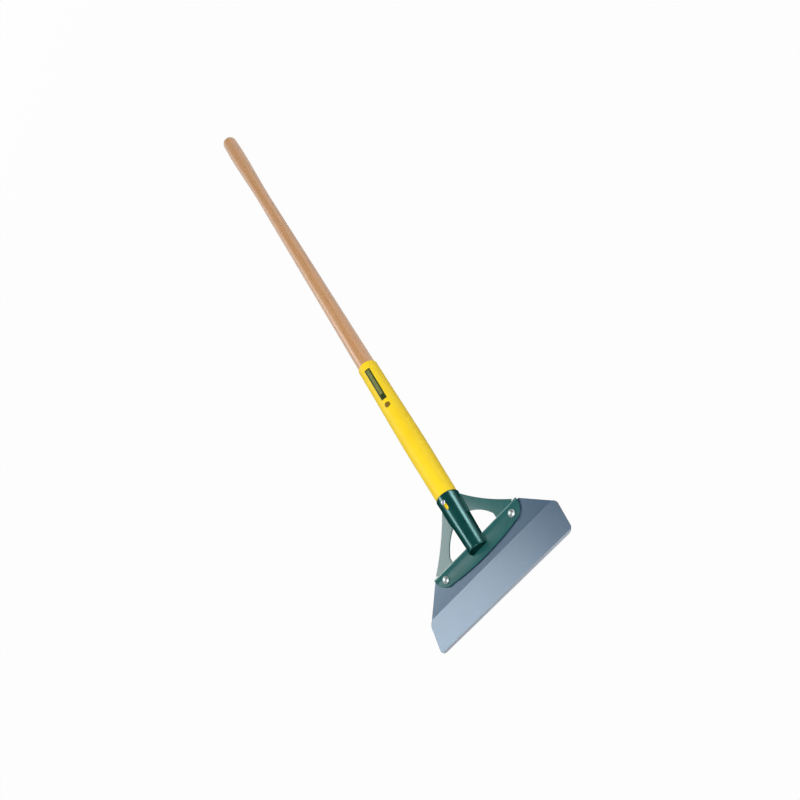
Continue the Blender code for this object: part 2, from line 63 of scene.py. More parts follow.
SLEEVE_TOP_RADIUS = 0.0186
SLEEVE_BELLY_RADIUS = 0.0201
SLEEVE_BELLY_AT = 0.200
SLEEVE_NECKING = 0.012
SLEEVE_WALL = 0.0018
TUBE_MOUTH_AT = 0.0880
TUBE_MOUTH_RADIUS = 0.0202
TUBE_FOOT_AT = -0.0178
TUBE_FOOT_RADIUS = 0.0166
TUBE_WALL = 0.0016
SLEEVE_WAIST_AT = TUBE_MOUTH_AT + SLEEVE_NECKING
FIT = 0.0003
TOUCHING = 0.00001
ASH_PALE = (0.610, 0.338, 0.148, 1)
ASH_RING = (0.500, 0.245, 0.092, 1)
ASH_STREAK = (0.655, 0.375, 0.180, 1)
ASH_ROSY = (0.600, 0.285, 0.140, 1)
ASH_PORE = (0.270, 0.125, 0.045, 1)

handle_low, handle_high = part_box("wooden_handle")
FOLD_Y = handle_high.y - HANDLE_REACH
AXIS_HEIGHT = (handle_low.z + handle_high.z) / 2


def eased(t):
    """t held between 0 and 1, with a slow start and a slow end."""
    t = min(max(t, 0.0), 1.0)
    return t * t * (3 - 2 * t)


def between(start, end, share):
    return start + (end - start) * share


def tube_radius(at):
    """Outer radius of the steel tube, which is a plain taper."""
    share = (at - TUBE_FOOT_AT) / (TUBE_MOUTH_AT - TUBE_FOOT_AT)
    return between(TUBE_FOOT_RADIUS, TUBE_MOUTH_RADIUS, share)


def sleeve_radius(at):
    """Outer radius of the sleeve. It fits inside the tube, and widens above its mouth into a belly."""
    inside_tube = tube_radius(min(at, TUBE_MOUTH_AT)) - TUBE_WALL - FIT
    if at <= TUBE_MOUTH_AT:
        return inside_tube
    waist = (inside_tube + SLEEVE_BELLY_RADIUS) / 2
    if at <= SLEEVE_WAIST_AT:
        return between(inside_tube, waist, eased((at - TUBE_MOUTH_AT) / SLEEVE_NECKING))
    if at <= SLEEVE_BELLY_AT:
        share = eased((at - SLEEVE_WAIST_AT) / (SLEEVE_BELLY_AT - SLEEVE_WAIST_AT))
        return between(waist, SLEEVE_BELLY_RADIUS, share)
    share = eased((at - SLEEVE_BELLY_AT) / (SLEEVE_REACH - SLEEVE_BELLY_AT))
    return between(SLEEVE_BELLY_RADIUS, SLEEVE_TOP_RADIUS, share)


def wood_radius(at):
    """Radius of the wood. It fits inside the sleeve, narrows to the neck and swells at its end."""
    if at <= SLEEVE_REACH:
        return sleeve_radius(at) - SLEEVE_WALL - FIT
    root = SLEEVE_TOP_RADIUS - SLEEVE_WALL - FIT
    if at <= HANDLE_NECK_AT:
        return between(root, HANDLE_NECK_RADIUS, (at - SLEEVE_REACH) / (HANDLE_NECK_AT - SLEEVE_REACH))
    if at <= HANDLE_SWELL_AT:
        share = eased((at - HANDLE_NECK_AT) / (HANDLE_SWELL_AT - HANDLE_NECK_AT))
        return between(HANDLE_NECK_RADIUS, HANDLE_END_RADIUS, share)
    share = eased((at - HANDLE_SWELL_AT) / (HANDLE_DOME_AT - HANDLE_SWELL_AT))
    return between(HANDLE_END_RADIUS, HANDLE_DOME_RADIUS, share)


def steps(low, high, count):
    """Both ends of a span, and the places that cut it into count equal steps."""
    return [low + (high - low) * i / count for i in range(count + 1)]


def stations(places, counts):
    """The places, with the span from each one to the next cut into its count of steps."""
    rows = places[:1]
    for low, high, count in zip(places, places[1:], counts):
        rows += steps(low, high, count)[1:]
    return rows


def dome(base, top, radius, count):
    """(height, radius) pairs up a dome, from its rim at base to its point at top."""
    places = []
    for angle in steps(0, math.pi / 2, count)[:-1]:
        places.append((base + (top - base) * math.sin(angle), radius * math.cos(angle)))
    return places + [(top, 0.0)]


def only(piece):
    """Makes the piece the one that the next operators act on."""
    bpy.ops.object.select_all(action="DESELECT")
    piece.select_set(True)
    bpy.context.view_layer.objects.active = piece


def drawn_out(name, profile, segments, hollow=False):
    """Draws a ring out along +Z through (height, radius) pairs. A radius of 0 closes it at a point."""
    bpy.ops.object.select_all(action="DESELECT")
    height, radius = profile[0]
    fill = "NOTHING" if hollow else "NGON"
    bpy.ops.mesh.primitive_circle_add(
        vertices=segments, radius=radius, fill_type=fill, location=(0, 0, height)
    )
    piece = bpy.context.object
    piece.name = name
    bpy.ops.object.transform_apply(location=True)
    bpy.ops.object.mode_set(mode="EDIT")
    bpy.ops.mesh.select_all(action="SELECT")
    for next_height, next_radius in profile[1:]:
        rise = next_height - height
        bpy.ops.mesh.extrude_region_move(TRANSFORM_OT_translate={"value": (0, 0, rise)})
        if next_radius > 0:
            ratio = next_radius / radius
            bpy.ops.transform.resize(value=(ratio, ratio, 1), center_override=(0, 0, next_height))
            radius = next_radius
        else:
            bpy.ops.mesh.merge(type="CENTER")
        height = next_height
    if hollow:
        bpy.ops.mesh.select_all(action="SELECT")
        bpy.ops.mesh.remove_doubles(threshold=TOUCHING)
    bpy.ops.mesh.select_all(action="SELECT")
    bpy.ops.mesh.normals_make_consistent(inside=False)
    bpy.ops.object.mode_set(mode="OBJECT")
    return piece


def settle(piece, at, turn=(0.0, 0.0, 0.0)):
    """Puts a piece at its place and writes that place into its mesh."""
    only(piece)
    piece.location = at
    piece.rotation_euler = turn
    bpy.ops.object.transform_apply(location=True, rotation=True, scale=True)


def along_handle(piece):
    """Turns a piece that was drawn out along +Z so that it runs up the handle from the fold line."""
    settle(piece, (0, FOLD_Y, AXIS_HEIGHT), (-math.pi / 2, 0, 0))


def smooth(piece, degrees=35):
    only(piece)
    bpy.ops.object.shade_smooth_by_angle(angle=math.radians(degrees))


def node(tree, kind, wired=None, **values):
    """Adds a node. values set its own properties, wired sets or links its inputs by name or number."""
    made = tree.nodes.new(kind)
    for label, value in values.items():
        setattr(made, label, value)
    for label, value in (wired or {}).items():
        if isinstance(value, bpy.types.NodeSocket):
            tree.links.new(value, made.inputs[label])
        else:
            made.inputs[label].default_value = value
    return made


def math_node(tree, operation, a, b=0.0, clamp=False):
    return node(tree, "ShaderNodeMath", {0: a, 1: b}, operation=operation, use_clamp=clamp).outputs[0]


def blend_colour(tree, share, a, b):
    return node(tree, "ShaderNodeMix", {0: share, 6: a, 7: b}, data_type="RGBA").outputs[2]


def span(tree, value, low, high, to_low=0.0, to_high=1.0):
    """Maps value from low..high to to_low..to_high, with smooth ends."""
    wires = {"Value": value, "From Min": low, "From Max": high, "To Min": to_low, "To Max": to_high}
    return node(tree, "ShaderNodeMapRange", wires, interpolation_type="SMOOTHSTEP").outputs["Result"]


def noise(tree, vector, scale, detail):
    wires = {"Vector": vector, "Scale": scale, "Detail": detail}
    return node(tree, "ShaderNodeTexNoise", wires).outputs["Fac"]


def stretched(tree, vector, x, y, z):
    """Scales the vector, so that a pattern on it is drawn out along each axis whose scale is small."""
    return node(tree, "ShaderNodeMapping", {"Vector": vector, "Scale": (x, y, z)}).outputs[0]


def new_mask(name, *amounts):
    """A shader node group that makes a mask from a vector and the named amounts."""
    group = bpy.data.node_groups.new(name, "ShaderNodeTree")
    group.interface.new_socket("Vector", in_out="INPUT", socket_type="NodeSocketVector")
    for amount in amounts:
        group.interface.new_socket(amount, in_out="INPUT", socket_type="NodeSocketFloat")
    group.interface.new_socket("Mask", in_out="OUTPUT", socket_type="NodeSocketFloat")
    given = group.nodes.new("NodeGroupInput").outputs
    return group, given, group.nodes.new("NodeGroupOutput").inputs["Mask"]


def build_mottle():
    """Soft, uneven patches: a mask from 0 to 1."""
    group, given, mask = new_mask("mottle", "Scale")
    patches = noise(group, given["Vector"], given["Scale"], 4.0)
    group.links.new(span(group, patches, 0.3, 0.7), mask)
    return group


mottle = build_mottle()


def masked(tree, group, vector, **amounts):
    """The mask that a group of that kind makes on a vector, with these amounts."""
    return node(tree, "ShaderNodeGroup", {"Vector": vector, **amounts}, node_tree=group).outputs["Mask"]


def new_finish(name, values):
    """A material with its own shader, where values sets what is the same all over."""
    finish = bpy.data.materials.new(name)
    finish.use_nodes = True
    tree = finish.node_tree
    shader = tree.nodes["Principled BSDF"]
    for label, value in values.items():
        shader.inputs[label].default_value = value
    return finish, tree, shader, node(tree, "ShaderNodeTexCoord").outputs["Object"]


def relief(tree, shader, height, depth):
    """Feeds a height mask to the shader's normal as relief of the given depth in metres."""
    bump = node(tree, "ShaderNodeBump", {"Height": height, "Distance": depth, "Strength": 1.0})
    tree.links.new(bump.outputs["Normal"], shader.inputs["Normal"])


def build_wood():
    """Lacquered ash: growth rings drawn out along the handle, fine streaks and short dark pores."""
    values = {"Coat Weight": 0.9, "Coat Roughness": 0.36}
    finish, tree, shader, place = new_finish("lacquered_ash", values)
    long_way = stretched(tree, place, 1.0, 0.035, 1.0)
    drift = node(tree, "ShaderNodeTexNoise", {"Vector": long_way, "Scale": 30.0, "Detail": 3.0})
    wires = {0: drift.outputs["Color"], "Scale": 0.010}
    bent = node(tree, "ShaderNodeVectorMath", wires, operation="SCALE").outputs[0]
    warped = node(tree, "ShaderNodeVectorMath", {0: long_way, 1: bent}, operation="ADD").outputs[0]
    rings = node(
        tree, "ShaderNodeTexWave", {"Vector": warped, "Scale": 62.0, "Distortion": 1.6, "Detail": 2.0},
        wave_type="BANDS", bands_direction="X", wave_profile="SAW",
    ).outputs["Fac"]
    streaks = noise(tree, warped, 260.0, 5.0)
    rosy = masked(tree, mottle, long_way, Scale=24.0)
    pores = span(tree, noise(tree, stretched(tree, place, 1.0, 0.045, 1.0), 1500.0, 2.0), 0.60, 0.68)
    base = blend_colour(tree, span(tree, rings, 0.1, 0.95), ASH_PALE, ASH_RING)
    base = blend_colour(tree, span(tree, streaks, 0.35, 0.65, 0.0, 0.5), base, ASH_STREAK)
    base = blend_colour(tree, math_node(tree, "MULTIPLY", rosy, 0.35), base, ASH_ROSY)
    base = blend_colour(tree, math_node(tree, "MULTIPLY", pores, 0.45), base, ASH_PORE)
    tree.links.new(base, shader.inputs["Base Color"])
    tree.links.new(span(tree, streaks, 0.3, 0.7, 0.36, 0.52), shader.inputs["Roughness"])
    height = math_node(tree, "SUBTRACT", math_node(tree, "MULTIPLY", streaks, 0.5), pores)
    relief(tree, shader, height, 0.00008)
    return finish


handle_rows = stations(
    [
        HANDLE_STOP_AT, TUBE_MOUTH_AT, SLEEVE_WAIST_AT, SLEEVE_REACH,
        HANDLE_NECK_AT, HANDLE_SWELL_AT, HANDLE_DOME_AT,
    ],
    [3, 4, 10, 10, 14, 8],
)
handle_profile = [(at, wood_radius(at)) for at in handle_rows]
handle_profile += dome(HANDLE_DOME_AT, HANDLE_REACH, HANDLE_DOME_RADIUS, 12)[1:]
handle = drawn_out("handle", handle_profile, segments=96)
along_handle(handle)
smooth(handle)
handle.data.materials.append(build_wood())
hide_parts("wooden_handle")
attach(handle, "root")

# Plastic sleeve: a yellow extruded sleeve that protects the lower handle. It has a rounded lip at its
# upper end, bellies out a little, and tucks into the steel tube.
SLEEVE_LIP_RADIUS = 0.0014
SLEEVE_LIP_AT = SLEEVE_REACH - SLEEVE_LIP_RADIUS
YELLOW_DEEP = (0.965, 0.670, 0.016, 1)
YELLOW_BRIGHT = (0.990, 0.715, 0.021, 1)
YELLOW_SCRATCH = (0.80, 0.56, 0.05, 1)


def arc(centre, radius, start, end, count):
    """Points of an arc round a centre, from one angle to another in degrees."""
    places = []
    for angle in steps(math.radians(start), math.radians(end), count):
        places.append((centre[0] + radius * math.cos(angle), centre[1] + radius * math.sin(angle)))
    return places


def build_scratches():
    """Fine straight scratches in two directions, as handling and shipping leave them."""
    group, given, mask = new_mask("scratches", "Scale", "Amount")
    lines = []
    for turn, stretch in ((0.5, 0.03), (-0.9, 0.04)):
        turned = node(group, "ShaderNodeMapping", {"Vector": given["Vector"], "Rotation": (0, 0, turn)})
        thin = stretched(group, turned.outputs[0], 1.0, stretch, 1.0)
        lines.append(span(group, noise(group, thin, given["Scale"], 2.0), 0.68, 0.72))
    both = math_node(group, "MAXIMUM", *lines)
    group.links.new(math_node(group, "MULTIPLY", both, given["Amount"]), mask)
    return group


scratches = build_scratches()


def build_yellow():
    """Smooth plastic, with faint lines along it from the die and a fine grain."""
    finish, tree, shader, place = new_finish("yellow_plastic", {"Specular IOR Level": 0.25})
    base = blend_colour(tree, masked(tree, mottle, place, Scale=26.0), YELLOW_DEEP, YELLOW_BRIGHT)
    marks = masked(tree, scratches, place, Scale=240.0, Amount=0.12)
    tree.links.new(blend_colour(tree, marks, base, YELLOW_SCRATCH), shader.inputs["Base Color"])
    lines = noise(tree, stretched(tree, place, 1.0, 0.02, 1.0), 700.0, 3.0)
    tree.links.new(span(tree, lines, 0.3, 0.7, 0.46, 0.56), shader.inputs["Roughness"])
    grain = math_node(tree, "MULTIPLY", noise(tree, place, 900.0, 2.0), 0.5)
    relief(tree, shader, math_node(tree, "ADD", grain, lines), 0.00003)
    return finish


sleeve_rows = stations([HANDLE_STOP_AT, TUBE_MOUTH_AT, SLEEVE_WAIST_AT, SLEEVE_LIP_AT], [3, 6, 20])
sleeve_lip = arc((SLEEVE_TOP_RADIUS - SLEEVE_LIP_RADIUS, SLEEVE_LIP_AT), SLEEVE_LIP_RADIUS, 0, 90, 6)
sleeve_outside = [(at, sleeve_radius(at)) for at in sleeve_rows]
sleeve_outside += [(at, radius) for radius, at in sleeve_lip[1:]]
sleeve_inside = [(SLEEVE_REACH, SLEEVE_TOP_RADIUS - SLEEVE_WALL)]
sleeve_inside += [(at, sleeve_radius(at) - SLEEVE_WALL) for at in reversed(sleeve_rows)]
sleeve_profile = sleeve_outside + sleeve_inside + sleeve_outside[:1]
sleeve = drawn_out("sleeve", sleeve_profile, segments=96, hollow=True)
along_handle(sleeve)
smooth(sleeve, degrees=50)
sleeve.data.materials.append(build_yellow())
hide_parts("handle_sleeve")
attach(sleeve, "root")

# Printed patch: a thin printed film on the sleeve's front. Its plain olive panel has a dark green border,
# which is deeper at the lower end.
PATCH_LOW = 0.3091
PATCH_HIGH = 0.3855
PATCH_FROM_DEGREES = 1.0
PATCH_TO_DEGREES = 35.0
PATCH_BORDER = 0.0025
PATCH_FOOT_BORDER = 0.0125
PATCH_CORNER_RADIUS = 0.0009
FILM_THICKNESS = 0.00008
FILM_GAP = 0.00002
ACROSS = Vector((1, 0, 0))
LENGTHWISE = Vector((0, 1, 0))
GREEN_PRINT = (0.024, 0.048, 0.006, 1)
OLIVE_PRINT = (0.205, 0.235, 0.080, 1)


def build_print(name, colour):
    """Ink on film, uneven by up to a fifth."""
    finish, tree, shader, place = new_finish(name, {})
    darker = tuple(channel * 0.8 for channel in colour[:3]) + (1,)
    base = blend_colour(tree, masked(tree, mottle, place, Scale=180.0), colour, darker)
    tree.links.new(base, shader.inputs["Base Color"])
    grain = noise(tree, place, 2500.0, 2.0)
    tree.links.new(span(tree, grain, 0.3, 0.7, 0.36, 0.5), shader.inputs["Roughness"])
    relief(tree, shader, grain, 0.00001)
    return finish


def cut_rows(places, axis, threshold=0.0001):
    """Adds a row of points through the whole piece, in edit mode, at each of the places along an axis."""
    for place in places:
        bpy.ops.mesh.select_all(action="SELECT")
        bpy.ops.mesh.bisect(plane_co=axis * place, plane_no=axis, threshold=threshold)


def modified(piece, kind, **values):
    """Puts a modifier with these values on the piece and applies it."""
    only(piece)
    modifier = piece.modifiers.new(kind, kind)
    for label, value in values.items():
        setattr(modifier, label, value)
    bpy.ops.object.modifier_apply(modifier=modifier.name)


def wrap_on_sleeve(piece):
    """Wraps a flat piece round the sleeve and gives it a film's thickness.

    Its x is a length of arc from the sleeve's front, its y the place up the handle.
    """
    for vertex in piece.data.vertices:
        at = vertex.co.y
        radius = sleeve_radius(at) + vertex.co.z
        angle = vertex.co.x / sleeve_radius(at)
        vertex.co = (radius * math.sin(angle), FOLD_Y + at, AXIS_HEIGHT + radius * math.cos(angle))
    modified(piece, "SOLIDIFY", thickness=FILM_THICKNESS, offset=1.0)
    smooth(piece)


patch_middle = (PATCH_LOW + PATCH_HIGH) / 2
patch_left = math.radians(PATCH_FROM_DEGREES) * sleeve_radius(patch_middle)
patch_right = math.radians(PATCH_TO_DEGREES) * sleeve_radius(patch_middle)
panel_low, panel_high = PATCH_LOW + PATCH_FOOT_BORDER, PATCH_HIGH - PATCH_BORDER
panel_left, panel_right = patch_left + PATCH_BORDER, patch_right - PATCH_BORDER
bpy.ops.object.select_all(action="DESELECT")
bpy.ops.mesh.primitive_plane_add(
    size=1.0, location=((patch_left + patch_right) / 2, patch_middle, FILM_GAP)
)
patch = bpy.context.object
patch.name = "sleeve_patch"
patch.scale = (patch_right - patch_left, PATCH_HIGH - PATCH_LOW, 1)
bpy.ops.object.transform_apply(location=True, rotation=True, scale=True)
bpy.ops.object.mode_set(mode="EDIT")
bpy.ops.mesh.select_all(action="SELECT")
bpy.ops.mesh.bevel(offset=PATCH_CORNER_RADIUS, segments=4, affect="VERTICES")
cut_rows(steps(PATCH_LOW, PATCH_HIGH, 16)[1:-1] + [panel_low, panel_high], LENGTHWISE)
cut_rows(steps(patch_left, patch_right, 8)[1:-1] + [panel_left, panel_right], ACROSS)
bpy.ops.object.mode_set(mode="OBJECT")
patch.data.materials.append(build_print("green_print", GREEN_PRINT))
patch.data.materials.append(build_print("olive_print", OLIVE_PRINT))
for face in patch.data.polygons:
    inside = panel_left < face.center.x < panel_right and panel_low < face.center.y < panel_high
    face.material_index = 1 if inside else 0
wrap_on_sleeve(patch)
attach(patch, "root")

# Printed dot: a small round patch of the same film, printed gold-brown, below the other. A square grid is
# eased into a disc, so that it bends evenly round the sleeve.
DOT_AT = 0.2955
DOT_DEGREES = 16.4
DOT_RADIUS = 0.0056
GOLD_PRINT = (0.260, 0.150, 0.012, 1)

bpy.ops.object.select_all(action="DESELECT")
bpy.ops.mesh.primitive_grid_add(x_subdivisions=12, y_subdivisions=12, size=2 * DOT_RADIUS)
dot = bpy.context.object
dot.name = "sleeve_dot"
for vertex in dot.data.vertices:
    across, up = vertex.co.x / DOT_RADIUS, vertex.co.y / DOT_RADIUS
    vertex.co.x = DOT_RADIUS * across * math.sqrt(1 - up * up / 2)
    vertex.co.y = DOT_RADIUS * up * math.sqrt(1 - across * across / 2)
settle(dot, (math.radians(DOT_DEGREES) * sleeve_radius(DOT_AT), DOT_AT, FILM_GAP))
wrap_on_sleeve(dot)
dot.data.materials.append(build_print("gold_print", GOLD_PRINT))
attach(dot, "root")

# Steel tube: rolled steel, tapering to an open foot, dipped in glossy dark green paint. A slot near its
# mouth holds the screw, and the sleeve shows through the rest of it.
TUBE_RIM_RADIUS = 0.0005
TUBE_RIM_LENGTH = 0.004
SLOT_WIDTH = 0.0064
SLOT_LENGTH = 0.0196
SLOT_BELOW_MOUTH = 0.0080
SLOT_CUT_DEPTH = 0.020
TUBE_DARK = (0.0022, 0.044, 0.040, 1)
TUBE_LIGHT = (0.0045, 0.056, 0.051, 1)
TUBE_SCRATCH = (0.05, 0.14, 0.12, 1)
TUBE_SHEEN = (0.50, 1.0, 1.0, 1)


def fade_aside(tree, shader, label, start, end, least):
    """Fades an input of the shader from its own value to least, as the surface turns from the view."""
    turned = node(tree, "ShaderNodeLayerWeight", {"Blend": 0.5}).outputs["Facing"]
    full = shader.inputs[label].default_value
    tree.links.new(span(tree, turned, start, end, full, least), shader.inputs[label])


def build_tube_paint():
    """Gloss paint with a green sheen, which fades on its sides so that they don't turn pale."""
    values = {"Specular IOR Level": 1.0, "Specular Tint": TUBE_SHEEN}
    finish, tree, shader, place = new_finish("dark_green_paint", values)
    cloudy = masked(tree, mottle, place, Scale=45.0)
    base = blend_colour(tree, cloudy, TUBE_DARK, TUBE_LIGHT)
    marks = masked(tree, scratches, place, Scale=300.0, Amount=0.12)
    tree.links.new(blend_colour(tree, marks, base, TUBE_SCRATCH), shader.inputs["Base Color"])
    tree.links.new(span(tree, cloudy, 0.0, 1.0, 0.22, 0.27), shader.inputs["Roughness"])
    fade_aside(tree, shader, "Specular IOR Level", 0.22, 0.46, 0.0)
    relief(tree, shader, noise(tree, place, 320.0, 2.0), 0.00001)
    return finish


def rim_corner(at, radius, out, up):
    """Three steps round a rim's edge: out is +1 on the outside, up is +1 at the mouth."""
    places = []
    for angle in steps(0, math.pi / 2, 3):
        height = at - up * TUBE_RIM_RADIUS * (1 - math.sin(angle))
        places.append((height, radius - out * TUBE_RIM_RADIUS * (1 - math.cos(angle))))
    return places


def hollowed(piece, tool):
    """Cuts the tool's shape out of the piece, and takes the tool away."""
    modified(piece, "BOOLEAN", operation="DIFFERENCE", solver="EXACT", object=tool)
    bpy.data.objects.remove(tool, do_unlink=True)


tube_rows = steps(TUBE_FOOT_AT + TUBE_RIM_LENGTH, TUBE_MOUTH_AT - TUBE_RIM_LENGTH, 6)
tube_profile = list(reversed(rim_corner(TUBE_FOOT_AT, TUBE_FOOT_RADIUS, 1, -1)))
tube_profile += [(at, tube_radius(at)) for at in tube_rows]
tube_profile += rim_corner(TUBE_MOUTH_AT, TUBE_MOUTH_RADIUS, 1, 1)
tube_profile += list(reversed(rim_corner(TUBE_MOUTH_AT, TUBE_MOUTH_RADIUS - TUBE_WALL, -1, 1)))
tube_profile += [(at, tube_radius(at) - TUBE_WALL) for at in reversed(tube_rows)]
tube_profile += rim_corner(TUBE_FOOT_AT, TUBE_FOOT_RADIUS - TUBE_WALL, -1, -1)
tube = drawn_out("tube", tube_profile + tube_profile[:1], segments=128, hollow=True)
along_handle(tube)
slot_top = TUBE_MOUTH_AT - SLOT_BELOW_MOUTH - SLOT_WIDTH / 2
slot_bottom = TUBE_MOUTH_AT - SLOT_BELOW_MOUTH - SLOT_LENGTH + SLOT_WIDTH / 2
bpy.ops.object.select_all(action="DESELECT")
bpy.ops.mesh.primitive_cylinder_add(
    vertices=48, radius=SLOT_WIDTH / 2, depth=SLOT_CUT_DEPTH,
    location=(0, FOLD_Y + slot_top, AXIS_HEIGHT + TUBE_MOUTH_RADIUS),
)
slot_tool = bpy.context.object
bpy.ops.object.transform_apply(location=True)
bpy.ops.object.mode_set(mode="EDIT")
bpy.ops.mesh.select_all(action="DESELECT")
slot_shape = bmesh.from_edit_mesh(slot_tool.data)
for vertex in slot_shape.verts:
    vertex.select = vertex.co.y < FOLD_Y + slot_top + TOUCHING
slot_shape.select_flush(True)
bmesh.update_edit_mesh(slot_tool.data)
bpy.ops.transform.translate(value=(0, slot_bottom - slot_top, 0))
bpy.ops.object.mode_set(mode="OBJECT")
hollowed(tube, slot_tool)
smooth(tube, degrees=40)
tube.data.materials.append(build_tube_paint())
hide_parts("socket_tube")
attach(tube, "root")

# Screw: a zinc-plated steel screw with a domed head and a cross recess, driven through the slot's upper
# end into the wood.
SCREW_HEAD_RADIUS = 0.0043
SCREW_HEAD_HEIGHT = 0.0026
SCREW_HEAD_RIM = SCREW_HEAD_HEIGHT / 4
SCREW_HEAD_ROUNDING = 0.0002
SCREW_SHANK_RADIUS = 0.0022
SCREW_TIP_RADIUS = 0.0004
SCREW_LENGTH = 0.0180
SCREW_FROM_SLOT_TOP = 0.0053
RECESS_LENGTH = 0.0046
RECESS_WIDTH = 0.0009
RECESS_DEPTH = 0.0014
RECESS_DEGREES = 25
ZINC_DARK = (0.50, 0.56, 0.64, 1)
ZINC_LIGHT = (0.62, 0.67, 0.72, 1)


def build_plain_metal(name, mottle_scale, dark, light, roughness, grain):
    """Bare metal. roughness is its lowest and highest, grain its scale, detail and depth."""
    finish, tree, shader, place = new_finish(name, {"Metallic": 1.0})
    cloudy = masked(tree, mottle, place, Scale=mottle_scale)
    tree.links.new(blend_colour(tree, cloudy, dark, light), shader.inputs["Base Color"])
    tree.links.new(span(tree, cloudy, 0.0, 1.0, *roughness), shader.inputs["Roughness"])
    scale, detail, depth = grain
    relief(tree, shader, noise(tree, place, scale, detail), depth)
    return finish


screw_profile = [
    (-SCREW_LENGTH, SCREW_TIP_RADIUS),
    (SCREW_SHANK_RADIUS - SCREW_LENGTH, SCREW_SHANK_RADIUS),
    (0.0, SCREW_SHANK_RADIUS),
    (0.0, SCREW_HEAD_RADIUS - SCREW_HEAD_ROUNDING),
    (SCREW_HEAD_ROUNDING, SCREW_HEAD_RADIUS),
]
screw_profile += dome(SCREW_HEAD_RIM, SCREW_HEAD_HEIGHT, SCREW_HEAD_RADIUS, 8)
screw = drawn_out("screw", screw_profile, segments=48)
for turn in (RECESS_DEGREES, RECESS_DEGREES + 90):
    bpy.ops.object.select_all(action="DESELECT")
    turned = (0, 0, math.radians(turn))
    bpy.ops.mesh.primitive_cube_add(size=1.0, location=(0, 0, SCREW_HEAD_HEIGHT), rotation=turned)
    recess = bpy.context.object
    recess.scale = (RECESS_LENGTH, RECESS_WIDTH, 2 * RECESS_DEPTH)
    bpy.ops.object.transform_apply(location=True, rotation=True, scale=True)
    hollowed(screw, recess)
screw_at = TUBE_MOUTH_AT - SLOT_BELOW_MOUTH - SCREW_FROM_SLOT_TOP
screw_seat = tube_radius(screw_at + SCREW_HEAD_RADIUS) + FIT
settle(screw, (0, FOLD_Y + screw_at, AXIS_HEIGHT + screw_seat))
smooth(screw, degrees=40)
zinc_plate = build_plain_metal(
    "zinc_plate", 600.0, ZINC_DARK, ZINC_LIGHT, roughness=(0.32, 0.42), grain=(1800.0, 2.0, 0.00003)
)
screw.data.materials.append(zinc_plate)
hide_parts("socket_screw")
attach(screw, "root")

# Bracket: one pressed steel sheet in green paint. Two arms flare from the tube to a plate that is folded
# back a little, with a window between each arm and the plate and a notch that takes the tube. A low
# crease stiffens the fold, and a pale line is painted along its ridge, partly as rubbed paint and partly
# as a painted highlight of the crease.
SHEET = 0.0025
SHEET_BEHIND_AXIS = 0.0010
FOLD = math.radians(3.0)
FOLD_RADIUS = 0.015
PLATE_HALF_WIDTH = 0.1002
PLATE_END_HEIGHT = 0.0268
PLATE_MIDDLE_HEIGHT = 0.0325
PLATE_CORNER_RADIUS = 0.024
PLATE_TOP_CORNER_RADIUS = 0.0012
ARM_TOP_AT = 0.0805
ARM_EDGE_HOLLOW = 0.0038
ARM_ROOT_INSET = 0.0066
RELIEF_DEPTH = 0.0087
RELIEF_ABOVE_FOLD = 0.0014
RELIEF_RADIUS = 0.00125
WINDOW_TOP_AT = 0.0430
WINDOW_HALF_WIDTH = 0.0540
WINDOW_SIDE_HEIGHT = 0.0092
WINDOW_EDGE_BULGE = 0.0034
WINDOW_CORNER_RADIUS = 0.0045
WINDOW_SILL_DROP = 0.0010
BRACKET_EDGE_ROUNDING = 0.00035
CREASE_FROM = 0.0008
CREASE_TOP = -0.0018
CREASE_TO = -0.0100
CREASE_HEIGHT = 0.00035
RIDGE_CORE = 0.0002
RIDGE_REACH = 0.0009
ON_ROW = 0.000005
ROW_SNAP = 0.000001
BRACKET_DARK = (0.013, 0.096, 0.094, 1)
BRACKET_LIGHT = (0.017, 0.113, 0.108, 1)
BRACKET_SCRATCH = (0.10, 0.26, 0.24, 1)
# Pale line on the crease's ridge: partly rubbed paint, partly a painted highlight of the crease.
BRACKET_RIDGE_WEAR_AND_HIGHLIGHT = (0.30, 0.46, 0.44, 1)


def rounded(corner, before, after, radius, count):
    """The arc that takes the place of a corner between two straight edges."""
    corner = Vector(corner)
    back = (Vector(before) - corner).normalized()
    ahead = (Vector(after) - corner).normalized()
    half_angle = back.angle(ahead) / 2
    middle = corner + (back + ahead).normalized() * radius / math.sin(half_angle)
    first = corner + back * radius / math.tan(half_angle) - middle
    last = corner + ahead * radius / math.tan(half_angle) - middle
    return [tuple(middle + first.lerp(last, i / count).normalized() * radius) for i in range(count + 1)]


def bowed(start, end, rise, count):
    """A shallow curve from start to end that stands off its chord by rise, to the chord's left."""
    start, end = Vector(start), Vector(end)
    left = Vector((start.y - end.y, end.x - start.x)).normalized()
    return [tuple(start.lerp(end, t) + left * rise * 4 * t * (1 - t)) for t in steps(0, 1, count)]


def flat_blank(name, half, thickness):
    """Cuts a flat sheet in x and y, from the right half of its outline, given from the middle out."""
    outline = half + [(-x, y) for x, y in reversed(half) if x > 0]
    curve = bpy.data.curves.new(name, "CURVE")
    curve.dimensions = "2D"
    curve.fill_mode = "BOTH"
    line = curve.splines.new("POLY")
    line.points.add(len(outline) - 1)
    for point, (x, y) in zip(line.points, outline):
        point.co = (x, y, 0, 1)
    line.use_cyclic_u = True
    blank = bpy.data.objects.new(name, curve)
    bpy.context.scene.collection.objects.link(blank)
    only(blank)
    bpy.ops.object.convert(target="MESH")
    blank = bpy.context.object
    modified(blank, "SOLIDIFY", thickness=thickness, offset=0.0)
    return blank


def round_edges(piece, rounding):
    """Takes the sharpness off a flat blank's edges."""
    modified(
        piece, "BEVEL", width=rounding, segments=2, limit_method="ANGLE", angle_limit=math.radians(50),
        use_clamp_overlap=False,
    )


